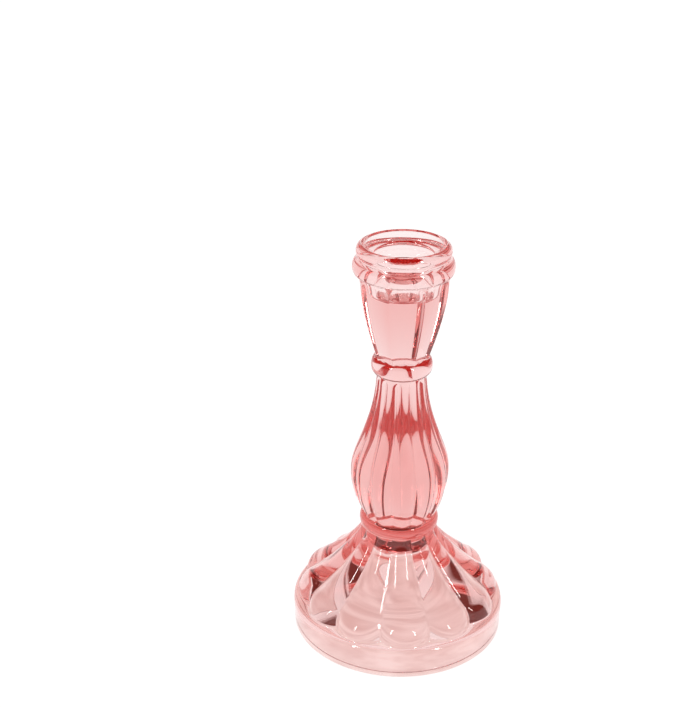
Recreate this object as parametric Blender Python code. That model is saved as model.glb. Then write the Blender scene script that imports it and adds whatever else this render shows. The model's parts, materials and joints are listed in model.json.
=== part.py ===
"""Pressed glass candlestick: a petalled foot, two round rings, a ribbed baluster and a
panelled candle cup, stacked on one vertical axis and fused face to face.

Metres, +Z up, origin at the middle of the face that stands on the table.
"""
import math

import bmesh
import bpy

# Seams between the fused sections
SEAM = 0.0003

# Foot: plain rim band
RIM_RADIUS = 0.0446
RIM_HEIGHT = 0.0125
RIM_EDGE_REACH = 0.0019
RIM_EDGE_DROP = 0.0031
RIM_DRAFT = 0.0003
RIM_FOOT_CHAMFER = 0.0005
RIM_WALL = 0.0062

# Foot: ledge and petalled dome
LEDGE_WIDTH = 0.0020
LEDGE_SLOPE = math.radians(3)
PETALS = 12
FOOT_HEIGHT = 0.0465
FOOT_NECK_RADIUS = 0.0156
SHOULDER_RISE = 0.0013
SHOULDER_ROUND = 0.0075
PETAL_SLOPE = math.radians(35)
PETAL_SWEEP = math.radians(55)
DOME_LOWER_DRAW = 0.0092
DOME_UPPER_DRAW = 0.0068

# Foot: hollow underside
CROWN_THICKNESS = 0.0100
HOLLOW_SIDE_HEIGHT = 0.0065
HOLLOW_DRAFT = 0.0012
HOLLOW_LOWER_DRAW = 0.0080
HOLLOW_UPPER_DRAW = 0.0100
HOLLOW_TIP_RADIUS = 0.0100
HOLLOW_TIP_ROUND = 0.0030

# Lower ring, between the foot and the stem
LOWER_RING_HEIGHT = 0.0052
LOWER_RING_OVERHANG = 0.0008

# Stem: ribbed baluster. A rib or petal is a round lobe, and its sweep is half the turn of its arc.
RIBS = 12
RIB_SWEEP = math.radians(50)
STEM_HEIGHT = 0.0633
STEM_FOOT_RADIUS = 0.0149
STEM_FOOT_DRAW = 0.0055
STEM_FOOT_LEAN = math.radians(60)
BULB_RADIUS = 0.0203
BULB_LEVEL = 0.0197
BULB_LOWER_DRAW = 0.0078
BULB_UPPER_DRAW = 0.0120
NECK_RADIUS = 0.0100
NECK_FLARE = 0.0011
NECK_DRAW = 0.0235
RIB_RUNOUT = 0.0030

# Upper ring, between the stem and the candle cup
UPPER_RING_HEIGHT = 0.0069
UPPER_RING_OVERHANG = 0.0015

# Candle cup: flat panels cut into a round blank
PANELS = 8
CUP_HEIGHT = 0.0469
CUP_FOOT_APOTHEM = 0.0100
CUP_TOP_APOTHEM = 0.0168
CUP_FOOT_FLARE = 0.0022
CUP_FOOT_DRAW = 0.0070
CUP_TOP_FLARE = 0.0008
CUP_TOP_DRAW = 0.0105
PANEL_COVE_HEIGHT = 0.0050
BLANK_RADIUS = 0.0183

# Candle cup: collar, groove and lip
COLLAR_BULGE = 0.0017
COLLAR_HALF_HEIGHT = 0.0031
COLLAR_DROP = 0.0090
MOUTH_RADIUS = 0.0164
LIP_WIDTH = 0.0022
LIP_DROP = 0.0028

# Candle cup: funnel and socket
BORE_RADIUS = 0.0119
BORE_TAPER = 0.0013
FUNNEL_DEPTH = 0.0039
CREST_ROUND = 0.0006
SOCKET_DEPTH = 0.0200
SOCKET_FLOOR_ROUND = 0.0012

# Number of flat facets around each turned surface
LOBED_SIDES = 96
ROUND_SIDES = 64

GLASS_COLOUR = (0.90, 0.47, 0.45, 1.0)
GLASS_ROUGHNESS = 0.03
GLASS_IOR = 1.50
SHARP_ANGLE = math.radians(35)


def bezier(start, start_handle, end_handle, end, steps):
    """Points along a cubic curve in (radius, height), both ends included."""
    points = []
    for step in range(steps + 1):
        t = step / steps
        weights = ((1 - t) ** 3, 3 * t * (1 - t) ** 2, 3 * t * t * (1 - t), t ** 3)
        corners = (start, start_handle, end_handle, end)
        radius = sum(w * c[0] for w, c in zip(weights, corners))
        height = sum(w * c[1] for w, c in zip(weights, corners))
        points.append((radius, height))
    return points


def arc(centre, across, up, first, last, steps):
    """Points on an ellipse in (radius, height); angles in degrees, 0 points outward."""
    points = []
    for step in range(steps + 1):
        angle = math.radians(first + (last - first) * step / steps)
        points.append((centre[0] + across * math.cos(angle), centre[1] + up * math.sin(angle)))
    return points


def offset_in_sector(turn, count):
    """Angle from the middle of the nearest of count equal sectors, the first facing -Y."""
    pitch = 2 * math.pi / count
    return (turn + pitch / 2) % pitch - pitch / 2


def lobe_share(turn, count, sweep):
    """Radius of a ring of round lobes, as a share of the radius at their crests."""
    edge = math.tan(math.pi / count)
    round_share = 1 / (1 - math.cos(sweep) + math.sin(sweep) / edge)
    centre_share = 1 - round_share
    angle = offset_in_sector(turn, count)
    across = centre_share * math.sin(angle)
    return centre_share * math.cos(angle) + math.sqrt(round_share ** 2 - across ** 2)


def turned_solid(name, outline_at, sides):
    """Close a solid round the Z axis from the outline that it has at each turn.

    An outline starts and ends on the axis and keeps the material on its right.
    """
    bm = bmesh.new()
    columns = []
    first = outline_at(0.0)
    start = bm.verts.new((0, 0, first[0][1]))
    end = bm.verts.new((0, 0, first[-1][1]))
    for side in range(sides):
        turn = 2 * math.pi * side / sides
        column = [start]
        for radius, height in outline_at(turn)[1:-1]:
            column.append(bm.verts.new((radius * math.sin(turn), -radius * math.cos(turn), height)))
        column.append(end)
        columns.append(column)
    for side in range(sides):
        here = columns[side]
        there = columns[(side + 1) % sides]
        for row in range(len(here) - 1):
            corners = (here[row], here[row + 1], there[row + 1], there[row])
            bm.faces.new(list(dict.fromkeys(corners)))
    mesh = bpy.data.meshes.new(name)
    bm.to_mesh(mesh)
    bm.free()
    mesh.shade_smooth()
    mesh.set_sharp_from_angle(angle=SHARP_ANGLE)
    mesh.materials.append(glass_material(name + "_glass"))
    piece = bpy.data.objects.new(name, mesh)
    bpy.context.scene.collection.objects.link(piece)
    return piece


def glass_material(name):
    material = bpy.data.materials.new(name)
    material.use_nodes = True
    shader = material.node_tree.nodes["Principled BSDF"]
    shader.inputs["Base Color"].default_value = GLASS_COLOUR
    shader.inputs["Roughness"].default_value = GLASS_ROUGHNESS
    shader.inputs["Metallic"].default_value = 0.0
    shader.inputs["IOR"].default_value = GLASS_IOR
    shader.inputs["Transmission Weight"].default_value = 1.0
    return material


def dome_outline():
    """Crest line of the petals, from the neck down to their toes."""
    toe_radius = RIM_RADIUS - LEDGE_WIDTH
    shoulder = (toe_radius - SHOULDER_ROUND, RIM_HEIGHT + SHOULDER_RISE)
    lean = 90 - math.degrees(PETAL_SLOPE)
    rounded = arc(shoulder, SHOULDER_ROUND, SHOULDER_ROUND, lean, 0, 4)
    lower = rounded[0]
    lower_handle = (lower[0] - DOME_LOWER_DRAW * math.cos(PETAL_SLOPE),
                    lower[1] + DOME_LOWER_DRAW * math.sin(PETAL_SLOPE))
    neck = (FOOT_NECK_RADIUS, FOOT_HEIGHT)
    neck_handle = (FOOT_NECK_RADIUS, FOOT_HEIGHT - DOME_UPPER_DRAW)
    return bezier(neck, neck_handle, lower_handle, lower, 6) + rounded[1:]


def hollow_outline():
    """Underside of the foot, from the table up to the tip of the hollow."""
    table_radius = RIM_RADIUS - RIM_WALL
    side = (table_radius - HOLLOW_DRAFT, HOLLOW_SIDE_HEIGHT)
    side_handle = (side[0], side[1] + HOLLOW_LOWER_DRAW)
    top = FOOT_HEIGHT - CROWN_THICKNESS
    tip = (HOLLOW_TIP_RADIUS, top - HOLLOW_TIP_ROUND)
    tip_handle = (tip[0], tip[1] - HOLLOW_UPPER_DRAW)
    round_centre = (HOLLOW_TIP_RADIUS - HOLLOW_TIP_ROUND, top - HOLLOW_TIP_ROUND)
    rounded = arc(round_centre, HOLLOW_TIP_ROUND, HOLLOW_TIP_ROUND, 0, 90, 3)
    return [(table_radius, 0)] + bezier(side, side_handle, tip_handle, tip, 7) + rounded[1:] + [(0, top)]


def build_foot():
    dome = dome_outline()
    hollow = hollow_outline()
    edge_centre = (RIM_RADIUS - RIM_EDGE_REACH, RIM_HEIGHT - RIM_EDGE_DROP)
    rim = arc(edge_centre, RIM_EDGE_REACH, RIM_EDGE_DROP, 90, 0, 4)
    rim.append((RIM_RADIUS - RIM_DRAFT, RIM_FOOT_CHAMFER))
    rim.append((RIM_RADIUS - RIM_DRAFT - RIM_FOOT_CHAMFER, 0))

    def outline_at(turn):
        share = lobe_share(turn, PETALS, PETAL_SWEEP)
        petals = [(radius * share, height) for radius, height in dome]
        toe_radius = petals[-1][0]
        toe_height = RIM_HEIGHT + (edge_centre[0] - toe_radius) * math.tan(LEDGE_SLOPE)
        petals[-1] = (toe_radius, toe_height)
        return [(0, FOOT_HEIGHT)] + petals + rim + hollow

    return turned_solid("foot", outline_at, LOBED_SIDES)


def build_ring(name, bottom, height, lower_radius, upper_radius, overhang):
    """Round bead that stands out past both of the sections that it joins."""
    middle = bottom + height / 2
    crest = max(lower_radius, upper_radius) + overhang
    upper = arc((upper_radius, middle), crest - upper_radius, height / 2, 90, 0, 4)
    lower = arc((lower_radius, middle), crest - lower_radius, height / 2, 0, -90, 4)
    outline = [(0, bottom + height)] + upper + lower[1:] + [(0, bottom)]
    return turned_solid(name, lambda turn: outline, ROUND_SIDES)


def build_stem(bottom):
    top = bottom + STEM_HEIGHT
    neck = (NECK_RADIUS, top)
    neck_handle = (NECK_RADIUS + NECK_FLARE, top - NECK_DRAW)
    bulb = (BULB_RADIUS, bottom + BULB_LEVEL)
    upper = bezier(neck, neck_handle, (bulb[0], bulb[1] + BULB_UPPER_DRAW), bulb, 10)
    foot = (STEM_FOOT_RADIUS, bottom)
    foot_handle = (foot[0] + STEM_FOOT_DRAW * math.cos(STEM_FOOT_LEAN),
                   foot[1] + STEM_FOOT_DRAW * math.sin(STEM_FOOT_LEAN))
    lower = bezier(bulb, (bulb[0], bulb[1] - BULB_LOWER_DRAW), foot_handle, foot, 5)
    crest = upper + lower[1:]

    def outline_at(turn):
        share = lobe_share(turn, RIBS, RIB_SWEEP)
        points = [(0, top)]
        for radius, height in crest:
            depth = min(1.0, (top - height) / RIB_RUNOUT)
            points.append((radius * (1 + (share - 1) * depth), height))
        return points + [(0, bottom)]

    return turned_solid("stem", outline_at, LOBED_SIDES)


def panel_outline(bottom, collar_foot):
    """Middle line of a flat panel, from the cove under the collar down to the foot."""
    foot = (CUP_FOOT_APOTHEM, bottom)
    cove_foot = (CUP_TOP_APOTHEM, collar_foot - PANEL_COVE_HEIGHT)
    foot_handle = (foot[0] + CUP_FOOT_FLARE, foot[1] + CUP_FOOT_DRAW)
    top_handle = (cove_foot[0] - CUP_TOP_FLARE, cove_foot[1] - CUP_TOP_DRAW)
    flat = bezier(cove_foot, top_handle, foot_handle, foot, 8)
    cove_depth = BLANK_RADIUS - CUP_TOP_APOTHEM
    cove = arc((BLANK_RADIUS, cove_foot[1]), cove_depth, PANEL_COVE_HEIGHT, 90, 180, 4)
    return cove[:-1] + flat


def socket_outline(top):
    """Candle socket, from the middle of its floor up to the crest of the mouth."""
    floor = top - SOCKET_DEPTH
    floor_radius = BORE_RADIUS - BORE_TAPER
    corner = (floor_radius - SOCKET_FLOOR_ROUND, floor + SOCKET_FLOOR_ROUND)
    points = [(0, floor)] + arc(corner, SOCKET_FLOOR_ROUND, SOCKET_FLOOR_ROUND, -90, 0, 2)
    points.append((BORE_RADIUS, top - FUNNEL_DEPTH))
    points.append((MOUTH_RADIUS - CREST_ROUND, top - CREST_ROUND))
    return points


def build_candle_cup(bottom):
    top = bottom + CUP_HEIGHT
    collar_middle = top - COLLAR_DROP
    collar_foot = collar_middle - COLLAR_HALF_HEIGHT
    lip = arc((MOUTH_RADIUS, top - LIP_DROP), LIP_WIDTH, LIP_DROP, 90, -38, 6)
    collar = arc((BLANK_RADIUS, collar_middle), COLLAR_BULGE, COLLAR_HALF_HEIGHT, 72, -90, 7)
    socket = socket_outline(top)
    panels = panel_outline(bottom, collar_foot)

    def outline_at(turn):
        slant = math.cos(offset_in_sector(turn, PANELS))
        sides = [(min(BLANK_RADIUS, radius / slant), height) for radius, height in panels]
        return socket + lip + collar[:-1] + sides + [(0, bottom)]

    return turned_solid("candle_cup", outline_at, ROUND_SIDES)


def build_candlestick():
    for old in list(bpy.data.objects):
        bpy.data.objects.remove(old)
    build_foot()
    level = FOOT_HEIGHT + SEAM
    build_ring("lower_ring", level, LOWER_RING_HEIGHT, FOOT_NECK_RADIUS, STEM_FOOT_RADIUS, LOWER_RING_OVERHANG)
    level += LOWER_RING_HEIGHT + SEAM
    build_stem(level)
    level += STEM_HEIGHT + SEAM
    cup_foot_radius = CUP_FOOT_APOTHEM / math.cos(math.pi / PANELS)
    build_ring("upper_ring", level, UPPER_RING_HEIGHT, NECK_RADIUS, cup_foot_radius, UPPER_RING_OVERHANG)
    level += UPPER_RING_HEIGHT + SEAM
    build_candle_cup(level)


build_candlestick()
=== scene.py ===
# A short pressed-glass candlestick in rose glass, on lit white paper with two tall softboxes in front.
# The CAD sections give the levels; one closed glass skin is turned over all five of them.
import json
import math

import bpy
from mathutils import Euler, Matrix, Vector

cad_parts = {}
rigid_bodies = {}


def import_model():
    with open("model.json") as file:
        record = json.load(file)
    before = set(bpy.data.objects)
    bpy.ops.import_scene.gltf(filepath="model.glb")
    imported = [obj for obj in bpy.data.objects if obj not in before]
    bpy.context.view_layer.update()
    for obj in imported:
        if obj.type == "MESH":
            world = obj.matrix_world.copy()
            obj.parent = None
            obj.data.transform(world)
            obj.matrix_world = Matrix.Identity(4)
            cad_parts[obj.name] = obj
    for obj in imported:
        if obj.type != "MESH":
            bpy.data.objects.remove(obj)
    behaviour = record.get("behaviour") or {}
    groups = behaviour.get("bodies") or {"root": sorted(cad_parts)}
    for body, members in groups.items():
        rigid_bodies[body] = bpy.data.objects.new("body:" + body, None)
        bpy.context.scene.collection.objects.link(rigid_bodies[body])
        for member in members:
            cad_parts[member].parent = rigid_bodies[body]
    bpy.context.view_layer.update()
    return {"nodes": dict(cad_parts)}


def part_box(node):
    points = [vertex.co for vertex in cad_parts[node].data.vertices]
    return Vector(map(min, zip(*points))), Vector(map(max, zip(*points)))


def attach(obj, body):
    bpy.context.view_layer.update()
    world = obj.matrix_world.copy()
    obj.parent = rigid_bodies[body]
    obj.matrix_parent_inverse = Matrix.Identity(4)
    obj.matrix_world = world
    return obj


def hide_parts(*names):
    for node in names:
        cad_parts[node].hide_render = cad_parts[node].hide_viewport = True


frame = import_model()
print("frame loaded:", ", ".join(sorted(frame["nodes"])))


# lengths are in metres and angles in degrees; steps say how many pieces a curve is cut into
glassBody = dict(
    turns=192, crowding=0.75, lobes=12, creaseRound=0.010, merge=0.000004,
    lobeSweep=50, cornerSteps=5, cornerPair=0.00012,
)


# helpers for outlines: points are (radius, height)

def curveRun(start, startHandle, endHandle, end, count):
    # a cubic curve, both ends included
    points = []
    corners = (start, startHandle, endHandle, end)
    for step in range(count + 1):
        t = step / count
        weights = ((1 - t) ** 3, 3 * t * (1 - t) ** 2, 3 * t * t * (1 - t), t ** 3)
        points.append(tuple(sum(w * c[axis] for w, c in zip(weights, corners)) for axis in (0, 1)))
    return points


def ovalRun(centre, across, up, first, last, count):
    # part of an ellipse; 0 degrees points outwards, 90 up
    points = []
    for step in range(count + 1):
        angle = math.radians(first + (last - first) * step / count)
        points.append((centre[0] + across * math.cos(angle), centre[1] + up * math.sin(angle)))
    return points


def straightRun(start, end, stride):
    # a straight line with a tight pair of points at each end, so that shading stays flat up to the corner
    a, b = Vector(start), Vector(end)
    length, edge = (b - a).length, glassBody["cornerPair"]
    if length < 4 * edge:
        return [start, end]
    inner = max(1, round((length - 2 * edge) / stride))
    spots = [0.0] + [edge + (length - 2 * edge) * step / inner for step in range(inner + 1)] + [length]
    return [tuple(a.lerp(b, spot / length)) for spot in spots]


def softCorners(corners, reaches, stride):
    # joins corner points with straight runs and eases each inner corner over its own reach
    points = [corners[0]]
    count = glassBody["cornerSteps"]
    for before, corner, after, reach in zip(corners, corners[1:], corners[2:], reaches):
        here = Vector(corner)
        near = here + (Vector(before) - here).normalized() * reach
        far = here + (Vector(after) - here).normalized() * reach
        points += straightRun(points[-1], tuple(near), stride)[1:]
        for step in range(1, count + 1):
            t = step / count
            points.append(tuple(near * (1 - t) ** 2 + here * 2 * t * (1 - t) + far * t * t))
    return points + straightRun(points[-1], corners[-1], stride)[1:]


def levels(box):
    # bottom and top of one CAD section
    return tuple(corner.z for corner in box)


def lobeRoundness(count, sweepDegrees):
    # arc radius of one round lobe as a share of the radius at its crest
    sweep, edge = math.radians(sweepDegrees), math.tan(math.pi / count)
    return 1 / (1 - math.cos(sweep) + math.sin(sweep) / edge)


def rows(points, lobe=0.0, sweep=glassBody["lobeSweep"], panel=None, ledge=0.0):
    # one row of the turned skin per point, with how its section is shaped
    roundness = lobeRoundness(glassBody["lobes"], sweep)
    return [(radius, height, lobe, roundness, panel[i] if panel else 0.0, ledge)
            for i, (radius, height) in enumerate(points)]


# candle cup: socket, lip, collar, cove and panels; the apothem is the distance from the axis to a panel

cup = dict(
    footApothem=0.0100, footFlare=0.0022, footDraw=0.0070,
    topApothem=0.0168, topFlare=0.0008, topDraw=0.0105, sideSteps=26,
    coveHeight=0.0050, coveSteps=12, blankRadius=0.0183,
    collarBulge=0.0017, collarHalfHeight=0.0031, collarDrop=0.0090, collarFrom=72, collarSteps=26,
    mouthRadius=0.0164, lipWidth=0.0022, lipDrop=0.0028, lipTo=-38, lipSteps=24,
    crestRound=0.0012, crestFrom=135, crestTo=96, crestSteps=5,
    boreRadius=0.0119, boreTaper=0.0013, funnelDepth=0.0039, socketDepth=0.0200, socketStride=0.0018,
    floorRound=0.0012, boreEdgeRound=0.0005,
    panels=8, panelHollow=0.020, ridgeRound=0.0004,
)


def socketPoints(top):
    # from the middle of the socket's floor up to the crest of the mouth
    crestCentre = (cup["mouthRadius"], top - cup["crestRound"])
    crest = ovalRun(crestCentre, cup["crestRound"], cup["crestRound"],
                    cup["crestFrom"], cup["crestTo"], cup["crestSteps"])
    floor = top - cup["socketDepth"]
    corners = [(0.0, floor), (cup["boreRadius"] - cup["boreTaper"], floor),
               (cup["boreRadius"], top - cup["funnelDepth"]), crest[0]]
    socket = softCorners(corners, (cup["floorRound"], cup["boreEdgeRound"]), cup["socketStride"])
    return socket + crest[1:]


def cupRows():
    bottom, top = levels(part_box("candle_cup"))
    lipCentre = (cup["mouthRadius"], top - cup["lipDrop"])
    lip = ovalRun(lipCentre, cup["lipWidth"], cup["lipDrop"], 90, cup["lipTo"], cup["lipSteps"])
    middle = top - cup["collarDrop"]
    collar = ovalRun((cup["blankRadius"], middle), cup["collarBulge"], cup["collarHalfHeight"],
                     cup["collarFrom"], -90, cup["collarSteps"])
    coveFoot = (cup["topApothem"], middle - cup["collarHalfHeight"] - cup["coveHeight"])
    coveDepth = cup["blankRadius"] - cup["topApothem"]
    cove = ovalRun((cup["blankRadius"], coveFoot[1]), coveDepth, cup["coveHeight"], 90, 180, cup["coveSteps"])
    cupFoot = (cup["footApothem"], bottom)
    topHandle = (coveFoot[0] - cup["topFlare"], coveFoot[1] - cup["topDraw"])
    footHandle = (cupFoot[0] + cup["footFlare"], cupFoot[1] + cup["footDraw"])
    side = curveRun(coveFoot, topHandle, footHandle, cupFoot, cup["sideSteps"])
    panelled = cove[1:] + side[1:]
    blank = [(cup["blankRadius"], height) for apothem, height in panelled]
    apothems = [apothem for apothem, height in panelled]
    return rows(socketPoints(top) + lip + collar) + rows(blank, panel=apothems)


# rings: half round beads between the sections

rings = dict(lowerOverhang=0.0008, upperOverhang=0.0015, arcSteps=14)


def ringRows(node, upperRadius, lowerRadius, overhang):
    bottom, top = levels(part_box(node))
    middle, half = (top + bottom) / 2, (top - bottom) / 2
    crest = max(upperRadius, lowerRadius) + overhang
    upper = ovalRun((upperRadius, middle), crest - upperRadius, half, 90, 0, rings["arcSteps"])
    lower = ovalRun((lowerRadius, middle), crest - lowerRadius, half, 0, -90, rings["arcSteps"])
    return rows(upper + lower[1:])


# stem: a baluster with round ribs, which run out into its round neck

stem = dict(
    ribSweep=50, footRadius=0.0149, footDraw=0.0055, footLean=60,
    bulbRadius=0.0203, bulbLevel=0.0197, bulbLowerDraw=0.0078, bulbUpperDraw=0.0120,
    neckRadius=0.0100, neckFlare=0.0011, neckDraw=0.0235, ribRunout=0.0012,
    upperSteps=54, lowerSteps=28,
)


def stemRows():
    bottom, top = levels(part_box("stem"))
    neck, bulb = (stem["neckRadius"], top), (stem["bulbRadius"], bottom + stem["bulbLevel"])
    neckHandle = (neck[0] + stem["neckFlare"], top - stem["neckDraw"])
    upperHandle = (bulb[0], bulb[1] + stem["bulbUpperDraw"])
    upper = curveRun(neck, neckHandle, upperHandle, bulb, stem["upperSteps"])
    stemFoot, lean, draw = (stem["footRadius"], bottom), math.radians(stem["footLean"]), stem["footDraw"]
    footHandle = (stemFoot[0] + draw * math.cos(lean), stemFoot[1] + draw * math.sin(lean))
    lowerHandle = (bulb[0], bulb[1] - stem["bulbLowerDraw"])
    lower = curveRun(bulb, lowerHandle, footHandle, stemFoot, stem["lowerSteps"])
    made = []
    for radius, height in upper + lower[1:]:
        fade = min(1.0, (top - height) / stem["ribRunout"])
        made += rows([(radius, height)], lobe=fade * fade * (3 - 2 * fade), sweep=stem["ribSweep"])
    return made


# foot: dome of petals, ledge, plain rim band and hollow underside

foot = dict(
    rimRadius=0.0446, rimHeight=0.0125, rimEdgeReach=0.0019, rimEdgeDrop=0.0031, rimEdgeSteps=14,
    rimDraft=0.0003, rimStride=0.0025, rimFootRound=0.0005, rimFootSteps=5, rimWall=0.0062,
    ledgeWidth=0.0020, ledgeSlope=3, neckRadius=0.0156,
    shoulderRise=0.0013, shoulderRound=0.0075, shoulderSteps=18, petalSlope=35, petalSweep=55,
    domeLowerDraw=0.0092, domeUpperDraw=0.0068, domeSteps=46,
    crownThickness=0.0100, crownStride=0.0015, standEdgeRound=0.0006, standStride=0.0020,
    hollowSideHeight=0.0065, hollowDraft=0.0012, hollowLowerDraw=0.0080, hollowUpperDraw=0.0100,
    hollowSteps=44, hollowTipRadius=0.0100, hollowTipRound=0.0030, hollowTipSteps=8,
)


def domeRows(top):
    toeRadius, slope = foot["rimRadius"] - foot["ledgeWidth"], math.radians(foot["petalSlope"])
    shoulder = (toeRadius - foot["shoulderRound"], foot["rimHeight"] + foot["shoulderRise"])
    rounded = ovalRun(shoulder, foot["shoulderRound"], foot["shoulderRound"],
                      90 - foot["petalSlope"], 0, foot["shoulderSteps"])
    lower = rounded[0]
    lowerHandle = (lower[0] - foot["domeLowerDraw"] * math.cos(slope),
                   lower[1] + foot["domeLowerDraw"] * math.sin(slope))
    neck = (foot["neckRadius"], top)
    dome = curveRun(neck, (neck[0], top - foot["domeUpperDraw"]), lowerHandle, lower, foot["domeSteps"])
    toe = [(toeRadius, foot["rimHeight"])]
    petals = dict(lobe=1.0, sweep=foot["petalSweep"])
    return rows(dome, **petals) + rows(rounded[1:] + toe, ledge=1.0, **petals)


def rimPoints():
    reach, drop, footRound = foot["rimEdgeReach"], foot["rimEdgeDrop"], foot["rimFootRound"]
    edgeCentre = (foot["rimRadius"] - reach, foot["rimHeight"] - drop)
    edge = ovalRun(edgeCentre, reach, drop, 90, 0, foot["rimEdgeSteps"])
    lowCentre = (foot["rimRadius"] - foot["rimDraft"] - footRound, footRound)
    low = ovalRun(lowCentre, footRound, footRound, 0, -90, foot["rimFootSteps"])
    return edge + straightRun(edge[-1], low[0], foot["rimStride"])[1:-1] + low


def hollowPoints(top):
    tableRadius = foot["rimRadius"] - foot["rimWall"]
    side = (tableRadius - foot["hollowDraft"], foot["hollowSideHeight"])
    crown, tipRound = top - foot["crownThickness"], foot["hollowTipRound"]
    tip = (foot["hollowTipRadius"], crown - tipRound)
    tipCentre = (foot["hollowTipRadius"] - tipRound, crown - tipRound)
    start = (foot["rimRadius"] - foot["rimDraft"] - foot["rimFootRound"], 0.0)
    entry = softCorners([start, (tableRadius, 0.0), side], (foot["standEdgeRound"],), foot["standStride"])
    vault = curveRun(side, (side[0], side[1] + foot["hollowLowerDraw"]),
                     (tip[0], tip[1] - foot["hollowUpperDraw"]), tip, foot["hollowSteps"])
    rounded = ovalRun(tipCentre, tipRound, tipRound, 0, 90, foot["hollowTipSteps"])
    ceiling = straightRun(rounded[-1], (0.0, crown), foot["crownStride"])
    return entry[1:] + vault[1:] + rounded[1:] + ceiling[1:]


def footRows():
    top = levels(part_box("foot"))[1]
    return domeRows(top) + rows(rimPoints() + hollowPoints(top))


class NodeBench:
    # lays nodes in a tree; inputs may be sockets or plain values
    def __init__(self, tree):
        self.tree = tree

    def node(self, kind, *inputs, **settings):
        made = self.tree.nodes.new(kind)
        for name, value in settings.items():
            setattr(made, name, value)
        usable = [socket for socket in made.inputs if socket.enabled]
        for socket, value in zip(usable, inputs):
            self.feed(socket, value)
        return made

    def feed(self, socket, value):
        if isinstance(value, bpy.types.NodeSocket):
            self.tree.links.new(value, socket)
        elif value is not None:
            socket.default_value = value

    def math(self, operation, *inputs):
        return self.node("ShaderNodeMath", *inputs, operation=operation).outputs[0]

    def times(self, first, second):
        return self.math("MULTIPLY", first, second)

    def mix(self, share, first, second):
        return self.node("ShaderNodeMix", share, first, second).outputs[0]

    def mixColour(self, share, first, second):
        ends = []
        for value in (first, second):
            ends.append(value if isinstance(value, bpy.types.NodeSocket) else (*value, 1))
        return self.node("ShaderNodeMix", share, *ends, data_type="RGBA").outputs[2]

    def ramp(self, value, *ends):
        # clamped: 0 to 1 between the first two ends, or between the last two where they are given
        return self.node("ShaderNodeMapRange", value, *ends).outputs[0]


# the glass skin: every outline row is turned round the axis by one node tree

def outlineObject(outline):
    mesh = bpy.data.meshes.new("glassOutline")
    mesh.from_pydata([(radius, 0, height) for radius, height, *rest in outline],
                     [(i, i + 1) for i in range(len(outline) - 1)], [])
    for name, column in (("lobe", 2), ("roundness", 3), ("panel", 4), ("ledge", 5)):
        layer = mesh.attributes.new(name, "FLOAT", "POINT")
        layer.data.foreach_set("value", [row[column] for row in outline])
    made = bpy.data.objects.new("glassOutline", mesh)
    bpy.context.scene.collection.objects.link(made)
    return made


def pitchNodes(bench, turn, count):
    # half the pitch of a ring of repeats, and the turn from the nearest middle and from the next one
    halfPitch = bench.math("DIVIDE", math.pi, count)
    fromMiddle = bench.math("ABSOLUTE", bench.math("WRAP", turn, halfPitch, bench.times(halfPitch, -1)))
    fromNext = bench.math("SUBTRACT", bench.times(halfPitch, 2), fromMiddle)
    return halfPitch, (fromMiddle, fromNext)


def lobeShareNodes(bench, turn, count, roundness, creaseRound):
    # radius of a ring of round lobes, as a share of their crest, eased where two lobes meet
    halfPitch, angles = pitchNodes(bench, turn, count)
    centre = bench.math("SUBTRACT", 1.0, roundness)
    shares = []
    for angle in angles:
        across = bench.times(centre, bench.math("SINE", angle))
        under = bench.math("SUBTRACT", bench.times(roundness, roundness), bench.times(across, across))
        rise = bench.math("SQRT", bench.math("MAXIMUM", under, 0.0))
        shares.append(bench.math("MULTIPLY_ADD", centre, bench.math("COSINE", angle), rise))
    return bench.math("SMOOTH_MAX", shares[0], shares[1], creaseRound)


def panelRadiusNodes(bench, turn, count, apothem, hollow, ridgeRound):
    # radius of a ring of slightly hollow panels, eased along the ridges
    halfPitch, angles = pitchNodes(bench, turn, count)
    sides = []
    for angle in angles:
        part = bench.math("DIVIDE", angle, halfPitch)
        sunk = bench.times(hollow, bench.math("MULTIPLY_ADD", part, part, -1.0))
        flat = bench.math("DIVIDE", apothem, bench.math("COSINE", angle))
        sides.append(bench.math("MULTIPLY_ADD", flat, sunk, flat))
    return bench.math("SMOOTH_MIN", sides[0], sides[1], ridgeRound)


def crowdedTurnNodes(bench, turn, count, crowding):
    # how far a turn step moves so that steps gather halfway between the middles
    wave = bench.math("SINE", bench.times(turn, count))
    return bench.math("DIVIDE", bench.times(wave, crowding), count)


def gridNodes(bench, outline, turns):
    # a flat grid, one column per outline point and one line per turn step, with each point's index and turn
    size = bench.node("GeometryNodeAttributeDomainSize", outline, component="MESH").outputs["Point Count"]
    lines = bench.math("ADD", turns, 1)
    grid = bench.node("GeometryNodeMeshGrid", 1.0, 1.0, size, lines).outputs["Mesh"]
    spot = bench.node("ShaderNodeSeparateXYZ", bench.node("GeometryNodeInputPosition").outputs[0]).outputs
    last = bench.math("SUBTRACT", size, 1)
    index = bench.math("ROUND", bench.times(bench.math("ADD", spot["X"], 0.5), last))
    turn = bench.times(bench.math("ADD", spot["Y"], 0.5), 2 * math.pi)
    return grid, index, turn


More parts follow.
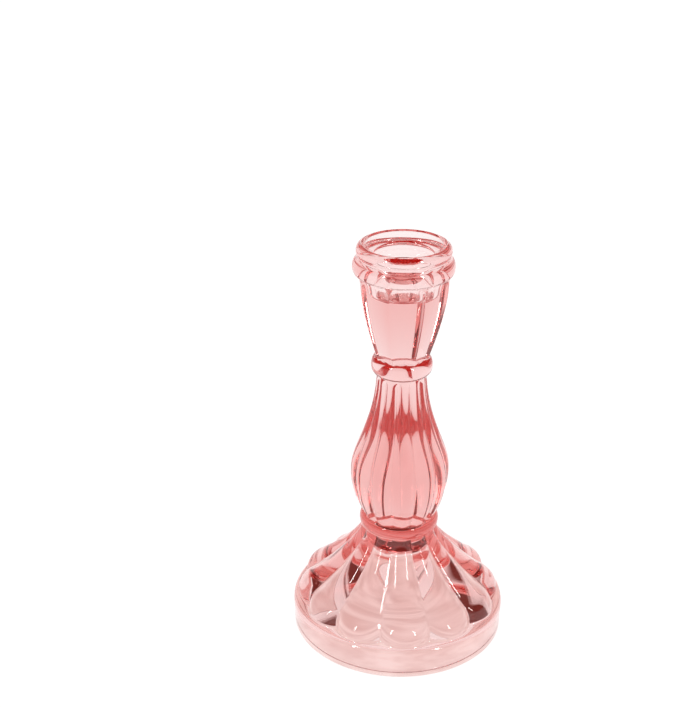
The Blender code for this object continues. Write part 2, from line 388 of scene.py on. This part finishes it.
def turningTree():
    tree = bpy.data.node_groups.new("turnedPressedGlass", "GeometryNodeTree")
    face = tree.interface
    face.new_socket("Geometry", in_out="INPUT", socket_type="NodeSocketGeometry")
    for name, kind in (("Turns", "Int"), ("Crowding", "Float"), ("Lobes", "Int"), ("Crease Round", "Float"),
                       ("Panels", "Int"), ("Panel Hollow", "Float"), ("Ridge Round", "Float"),
                       ("Panels From", "Float"), ("Panels To", "Float"), ("Ledge Radius", "Float"),
                       ("Ledge Height", "Float"), ("Ledge Slope", "Float"), ("Merge Distance", "Float"),
                       ("Glass", "Material")):
        face.new_socket(name, in_out="INPUT", socket_type="NodeSocket" + kind)
    face.new_socket("Geometry", in_out="OUTPUT", socket_type="NodeSocketGeometry")
    bench = NodeBench(tree)
    given = bench.node("NodeGroupInput").outputs
    outline = given["Geometry"]
    grid, index, turn = gridNodes(bench, outline, given["Turns"])

    def fromOutline(kind, field):
        return bench.node("GeometryNodeSampleIndex", outline, field, index, data_type=kind).outputs["Value"]

    def outlineValue(name):
        return fromOutline("FLOAT", bench.node("GeometryNodeInputNamedAttribute", name).outputs["Attribute"])

    place = fromOutline("FLOAT_VECTOR", bench.node("GeometryNodeInputPosition").outputs[0])
    place = bench.node("ShaderNodeSeparateXYZ", place).outputs
    radius, height = place["X"], place["Z"]
    lobe, roundness, apothem, ledge = (outlineValue(name) for name in ("lobe", "roundness", "panel", "ledge"))

    # turn steps gather along the ridges of the cup, and along the creases below the upper ring
    panelled = bench.ramp(height, given["Panels From"], given["Panels To"])
    toCreases = crowdedTurnNodes(bench, turn, given["Lobes"], given["Crowding"])
    toRidges = crowdedTurnNodes(bench, turn, given["Panels"], given["Crowding"])
    turn = bench.math("ADD", turn, bench.mix(panelled, toCreases, toRidges))

    # section of each row: round, lobed or panelled
    share = lobeShareNodes(bench, turn, given["Lobes"], roundness, given["Crease Round"])
    dip = bench.math("SUBTRACT", share, 1.0)
    lobed = bench.times(radius, bench.math("MULTIPLY_ADD", dip, lobe, 1.0))
    flat = panelRadiusNodes(bench, turn, given["Panels"], apothem,
                            given["Panel Hollow"], given["Ridge Round"])
    cut = bench.math("SMOOTH_MIN", radius, flat, given["Ridge Round"])
    isPanel = bench.math("GREATER_THAN", apothem, 0.0)
    radius = bench.mix(isPanel, lobed, cut)

    # the petals' toes follow the sloping ledge
    inside = bench.math("SUBTRACT", given["Ledge Radius"], radius)
    slant = bench.math("MULTIPLY_ADD", inside, given["Ledge Slope"], given["Ledge Height"])
    height = bench.mix(ledge, height, bench.math("MAXIMUM", height, slant))

    across = bench.times(radius, bench.math("SINE", turn))
    along = bench.times(radius, bench.times(bench.math("COSINE", turn), -1.0))
    position = bench.node("ShaderNodeCombineXYZ", across, along, height).outputs[0]
    skin = bench.node("GeometryNodeSetPosition", grid, None, position).outputs[0]
    skin = bench.node("GeometryNodeMergeByDistance", skin, None, given["Merge Distance"]).outputs[0]
    skin = bench.node("GeometryNodeSetShadeSmooth", skin).outputs[0]
    skin = bench.node("GeometryNodeRealizeInstances", skin).outputs[0]
    skin = bench.node("GeometryNodeSetMaterial", skin, None, given["Glass"]).outputs[0]
    bench.node("NodeGroupOutput", skin)
    return tree


def addGlassBody(glass):
    ridgeRadius = cup["footApothem"] / math.cos(math.pi / cup["panels"])
    outline = cupRows()
    outline += ringRows("upper_ring", ridgeRadius, stem["neckRadius"], rings["upperOverhang"])
    outline += stemRows()
    outline += ringRows("lower_ring", stem["footRadius"], foot["neckRadius"], rings["lowerOverhang"])
    outline += footRows()
    source = outlineObject(outline)
    tree = turningTree()
    modifier = source.modifiers.new("turning", "NODES")
    modifier.node_group = tree
    ringBottom, ringTop = levels(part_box("upper_ring"))
    values = {"Turns": glassBody["turns"], "Crowding": glassBody["crowding"], "Lobes": glassBody["lobes"],
              "Crease Round": glassBody["creaseRound"], "Panels": cup["panels"],
              "Panel Hollow": cup["panelHollow"], "Ridge Round": cup["ridgeRound"],
              "Panels From": ringBottom, "Panels To": ringTop,
              "Ledge Radius": foot["rimRadius"] - foot["rimEdgeReach"], "Ledge Height": foot["rimHeight"],
              "Ledge Slope": math.tan(math.radians(foot["ledgeSlope"])),
              "Merge Distance": glassBody["merge"], "Glass": glass}
    for item in tree.interface.items_tree:
        if item.in_out == "INPUT" and item.name in values:
            modifier[item.identifier] = values[item.name]
    evaluated = source.evaluated_get(bpy.context.evaluated_depsgraph_get())
    mesh = bpy.data.meshes.new_from_object(evaluated)
    mesh.name = "glassBody"
    source.modifiers.remove(modifier)
    bpy.data.objects.remove(source)
    body = bpy.data.objects.new("glassBody", mesh)
    bpy.context.scene.collection.objects.link(body)
    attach(body, "root")
    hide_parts("candle_cup", "upper_ring", "stem", "lower_ring", "foot")
    print("glass body:", len(outline), "rows,", len(mesh.polygons), "faces")


# rose glass: colour comes from absorption through its thickness

roseGlass = dict(
    ior=1.5, absorbColour=(0.87, 0.23, 0.195), absorbDensity=30.0,
    cleanTint=(1.0, 1.0, 1.0), filmTint=(1.0, 0.975, 0.965),
    filmScale=55, filmDetail=4.0, filmFrom=0.50, filmTo=0.78,
    cleanRoughness=0.0, filmRoughness=0.05, standWearRoughness=0.25, standWearHeight=0.0004,
    rippleScale=(95, 95, 38), rippleDetail=1.5, rippleHeight=0.000015,
)


def makeRoseGlass():
    material = bpy.data.materials.new("roseGlass")
    material.use_nodes = True
    bench = NodeBench(material.node_tree)
    shader = material.node_tree.nodes["Principled BSDF"]
    output = material.node_tree.nodes["Material Output"]
    shader.inputs["IOR"].default_value = roseGlass["ior"]
    shader.inputs["Transmission Weight"].default_value = 1.0
    place = bench.node("ShaderNodeTexCoord").outputs["Object"]

    # faint film of handling: slightly warmer and less clear in loose patches
    clouds = bench.node("ShaderNodeTexNoise", place, roseGlass["filmScale"], roseGlass["filmDetail"])
    film = bench.ramp(clouds.outputs[0], roseGlass["filmFrom"], roseGlass["filmTo"])
    tint = bench.mixColour(film, roseGlass["cleanTint"], roseGlass["filmTint"])
    bench.feed(shader.inputs["Base Color"], tint)

    # the face that stands on the table is rubbed matt
    height = bench.node("ShaderNodeSeparateXYZ", place).outputs["Z"]
    rubbed = bench.math("LESS_THAN", height, roseGlass["standWearHeight"])
    clear = bench.mix(film, roseGlass["cleanRoughness"], roseGlass["filmRoughness"])
    bench.feed(shader.inputs["Roughness"], bench.mix(rubbed, clear, roseGlass["standWearRoughness"]))

    # long soft ripples left by the mould, drawn out along the height
    scale = roseGlass["rippleScale"]
    stretched = bench.node("ShaderNodeVectorMath", place, scale, operation="MULTIPLY").outputs[0]
    ripple = bench.node("ShaderNodeTexNoise", stretched, 1.0, roseGlass["rippleDetail"]).outputs[0]
    bump = bench.node("ShaderNodeBump")
    bump.inputs["Strength"].default_value = 1.0
    bump.inputs["Distance"].default_value = roseGlass["rippleHeight"]
    bench.feed(bump.inputs["Height"], ripple)
    bench.feed(shader.inputs["Normal"], bump.outputs[0])
    absorb = bench.node("ShaderNodeVolumeAbsorption")
    absorb.inputs["Color"].default_value = (*roseGlass["absorbColour"], 1)
    absorb.inputs["Density"].default_value = roseGlass["absorbDensity"]
    bench.feed(output.inputs["Volume"], absorb.outputs[0])
    print("rose glass ready")
    return material


# floor paper: it gives off a little more than white, with a painted pool of rose light under the foot

floorPaper = dict(
    size=6.0, colour=(0.08, 0.08, 0.08), roughness=0.9, light=(1.03, 1.03, 1.03),
    poolRadius=0.0430, poolEdge=0.0446, poolColour=(0.80, 0.56, 0.53), poolBright=(0.97, 0.78, 0.75),
    poolSpokes=2.4, poolRings=110, streakDetail=2.0, streakFrom=0.35, streakTo=0.65,
)


def makeFloorPaper():
    paper = bpy.data.materials.new("floorPaper")
    paper.use_nodes = True
    bench = NodeBench(paper.node_tree)
    shader = paper.node_tree.nodes["Principled BSDF"]
    shader.inputs["Base Color"].default_value = (*floorPaper["colour"], 1)
    shader.inputs["Roughness"].default_value = floorPaper["roughness"]
    shader.inputs["Specular IOR Level"].default_value = 0.0
    place = bench.node("ShaderNodeTexCoord").outputs["Object"]
    fromAxis = bench.node("ShaderNodeVectorMath", place, operation="LENGTH").outputs["Value"]
    pool = bench.ramp(fromAxis, floorPaper["poolRadius"], floorPaper["poolEdge"], 1.0, 0.0)
    flat = bench.node("ShaderNodeSeparateXYZ", place).outputs
    spoke = bench.times(bench.math("ARCTAN2", flat["Y"], flat["X"]), floorPaper["poolSpokes"])
    ring = bench.times(fromAxis, floorPaper["poolRings"])
    spokes = bench.node("ShaderNodeCombineXYZ", spoke, ring).outputs[0]
    streak = bench.node("ShaderNodeTexNoise", spokes, 1.0, floorPaper["streakDetail"]).outputs[0]
    streak = bench.ramp(streak, floorPaper["streakFrom"], floorPaper["streakTo"])
    rose = bench.mixColour(streak, floorPaper["poolColour"], floorPaper["poolBright"])
    bench.feed(shader.inputs["Emission Color"], bench.mixColour(pool, floorPaper["light"], rose))
    shader.inputs["Emission Strength"].default_value = 1.0
    return paper


def addFloor():
    bpy.ops.mesh.primitive_plane_add(size=floorPaper["size"])
    floor = bpy.context.object
    floor.name = "studioFloor"
    floor.data.materials.append(makeFloorPaper())


# camera, surroundings and softboxes; the camera turn goes round the axis of the object

studio = dict(
    cameraPlace=(-0.02263, -0.46755, 0.33537), cameraPitch=24.373, cameraTurn=-2.5,
    cameraLens=65.84, cameraSensor=36.0, bounces=32, backdrop=(1.0, 1.0, 1.0),
    sweepLight=(1.12, 1.12, 1.12), roomColour=(0.17, 0.035, 0.028), sweepTo=0.12, roomFrom=0.30,
    softboxTurn=45, softboxDistance=1.1, softboxWide=0.09, softboxTall=0.5, softboxLift=32,
    softboxPower=3, softboxAim=0.08,
)


def addCamera():
    turn = math.radians(studio["cameraTurn"])
    camera = bpy.data.objects.new("camera", bpy.data.cameras.new("camera"))
    camera.data.lens = studio["cameraLens"]
    camera.data.sensor_width = studio["cameraSensor"]
    camera.location = Matrix.Rotation(turn, 3, "Z") @ Vector(studio["cameraPlace"])
    camera.rotation_euler = Euler((math.radians(90 - studio["cameraPitch"]), 0, turn))
    bpy.context.scene.collection.objects.link(camera)
    bpy.context.scene.camera = camera


def addSurroundings():
    # glass sees a low bright sweep all round and a dim room above it; the camera sees a plain backdrop
    world = bpy.data.worlds.new("studioWhite")
    world.use_nodes = True
    bench = NodeBench(world.node_tree)
    background = world.node_tree.nodes["Background"]
    direction = bench.node("ShaderNodeTexCoord").outputs["Generated"]
    rise = bench.node("ShaderNodeSeparateXYZ", direction).outputs["Z"]
    above = bench.ramp(rise, studio["sweepTo"], studio["roomFrom"])
    around = bench.mixColour(above, studio["sweepLight"], studio["roomColour"])
    seen = bench.node("ShaderNodeLightPath").outputs["Is Camera Ray"]
    bench.feed(background.inputs["Color"], bench.mixColour(seen, around, studio["backdrop"]))
    bpy.context.scene.world = world


def addSoftboxes():
    # one to each side of the line from the object's axis to the camera, aimed at the object
    across, along, up = studio["cameraPlace"]
    front = math.radians(studio["cameraTurn"]) + math.atan2(across, -along)
    lift = math.radians(studio["softboxLift"])
    for side in (-1, 1):
        turn = front + math.radians(side * studio["softboxTurn"])
        away = Vector((math.sin(turn) * math.cos(lift), -math.cos(turn) * math.cos(lift), math.sin(lift)))
        light = bpy.data.lights.new("softbox", "AREA")
        light.shape = "RECTANGLE"
        light.size, light.size_y = studio["softboxWide"], studio["softboxTall"]
        light.energy = studio["softboxPower"]
        lamp = bpy.data.objects.new("softbox", light)
        lamp.location = Vector((0, 0, studio["softboxAim"])) + away * studio["softboxDistance"]
        lamp.rotation_euler = (-away).to_track_quat("-Z", "Y").to_euler()
        bpy.context.scene.collection.objects.link(lamp)


def setBounces():
    # light has to pass many glass walls
    cycles = bpy.context.scene.cycles
    cycles.max_bounces = studio["bounces"]
    cycles.transmission_bounces = studio["bounces"]
    cycles.glossy_bounces = studio["bounces"]


addCamera()
addGlassBody(makeRoseGlass())
bpy.context.scene.view_settings.view_transform = "Standard"
addSurroundings()
addFloor()
addSoftboxes()
setBounces()
print("studio ready")
